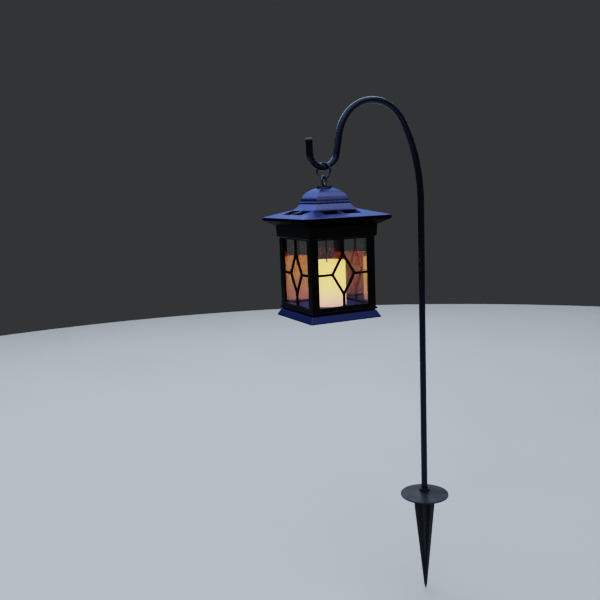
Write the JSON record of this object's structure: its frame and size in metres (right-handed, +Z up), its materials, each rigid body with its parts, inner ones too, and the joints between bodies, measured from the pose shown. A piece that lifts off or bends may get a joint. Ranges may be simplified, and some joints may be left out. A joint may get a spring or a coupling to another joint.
{
  "type": "solar garden light",
  "caption": "Square lantern with a glowing candle and solar roof, hung by a ring from a shepherd's hook on a ground stake.",
  "frame": {"origin": "on the pole axis at the ground line, the underside of the stake flange", "axes": "+Z up along the pole, the hook in the XZ plane with the lantern on the -X side"},
  "size_m": [0.279, 0.14, 0.8055],
  "materials": {
    "stake_plastic": "moulded black plastic, fine spark texture",
    "painted_tube": "black paint, satin gloss",
    "tip_plastic": "dark plastic plug",
    "ring_wire": "black plated wire",
    "zinc_steel": "zinc plated",
    "roof_plastic": "black plastic, satin gloss",
    "frame_plastic": "black plastic, satin",
    "base_plastic": "black plastic, satin gloss",
    "cover_plastic": "black plastic, fine texture",
    "clear_pane": "clear, polished",
    "solar_cell": "thin-film cell, glossy",
    "cell_cover": "clear, polished",
    "candle_plastic": "wax-like translucent, satin",
    "led_lens": "clear lens, lit",
    "board_green": "solder mask",
    "battery_wrap": "shrink wrap, satin",
    "nickel_contact": "nickel plated",
    "grommet_rubber": "soft rubber",
    "lead_sheath": "brown sheath",
    "connector_plastic": "natural nylon",
    "switch_plastic": "dark grey"
  },
  "bodies": {
    "stake": {"ground_stake": "stake_plastic"},
    "pole": {"lower_tube": "painted_tube", "middle_tube": "painted_tube", "hook_section": "painted_tube", "hook_tip_cap": "tip_plastic"},
    "ring": {"hanging_ring": "ring_wire"},
    "lantern": {"base_cover": "cover_plastic", "base_cover_screws": "zinc_steel", "base_shell": "base_plastic", "battery": "battery_wrap", "battery_contacts": "nickel_contact", "board_screws": "zinc_steel", "candle_grommet": "grommet_rubber", "candle_shell": "candle_plastic", "ceiling_grommet": "grommet_rubber", "ceiling_plate": "frame_plastic", "ceiling_screws": "zinc_steel", "circuit_board": "board_green", "hanger_eye": "ring_wire", "hanger_nut": "zinc_steel", "hanger_washer": "zinc_steel", "lamp_board": "board_green", "lamp_holder": "connector_plastic", "lamp_wires": "lead_sheath", "lead_block": "connector_plastic", "led_lamps": "led_lens", "pane_back": "clear_pane", "pane_front": "clear_pane", "pane_left": "clear_pane", "pane_right": "clear_pane", "roof_shell": "roof_plastic", "side_frame_back": "frame_plastic", "side_frame_front": "frame_plastic", "side_frame_left": "frame_plastic", "side_frame_right": "frame_plastic", "solar_cover_back": "cell_cover", "solar_cover_front": "cell_cover", "solar_cover_left": "cell_cover", "solar_cover_right": "cell_cover", "solar_lead": "lead_sheath", "solar_panel_back": "solar_cell", "solar_panel_front": "solar_cell", "solar_panel_left": "solar_cell", "solar_panel_right": "solar_cell", "switch_body": "switch_plastic"},
    "door": {"battery_door": "cover_plastic"},
    "knob": {"switch_knob": "switch_plastic"}
  },
  "joints": [
    {"name": "hook_swivel", "type": "hinge", "parent": "stake", "child": "pole", "pos_m": [0, 0, 0.012], "axis": [0, 0, 1], "continuous": true},
    {"name": "ring_swing", "type": "hinge", "parent": "pole", "child": "ring", "pos_m": [-0.17, 0, 0.5388], "axis": [1, 0, 0], "range_deg": [-25, 25]},
    {"name": "lantern_swing", "type": "hinge", "parent": "ring", "child": "lantern", "pos_m": [-0.17, 0, 0.52303], "axis": [-0.5736, 0.8192, 0], "range_deg": [-25, 25]},
    {"name": "battery_door_hinge", "type": "hinge", "parent": "lantern", "child": "door", "pos_m": [-0.17, -0.02, 0.3225], "axis": [1, 0, 0], "range_deg": [0, 80]},
    {"name": "switch_slide", "type": "slide", "parent": "lantern", "child": "knob", "axis": [1, 0, 0], "range_m": [0, 0.004]}
  ]
}
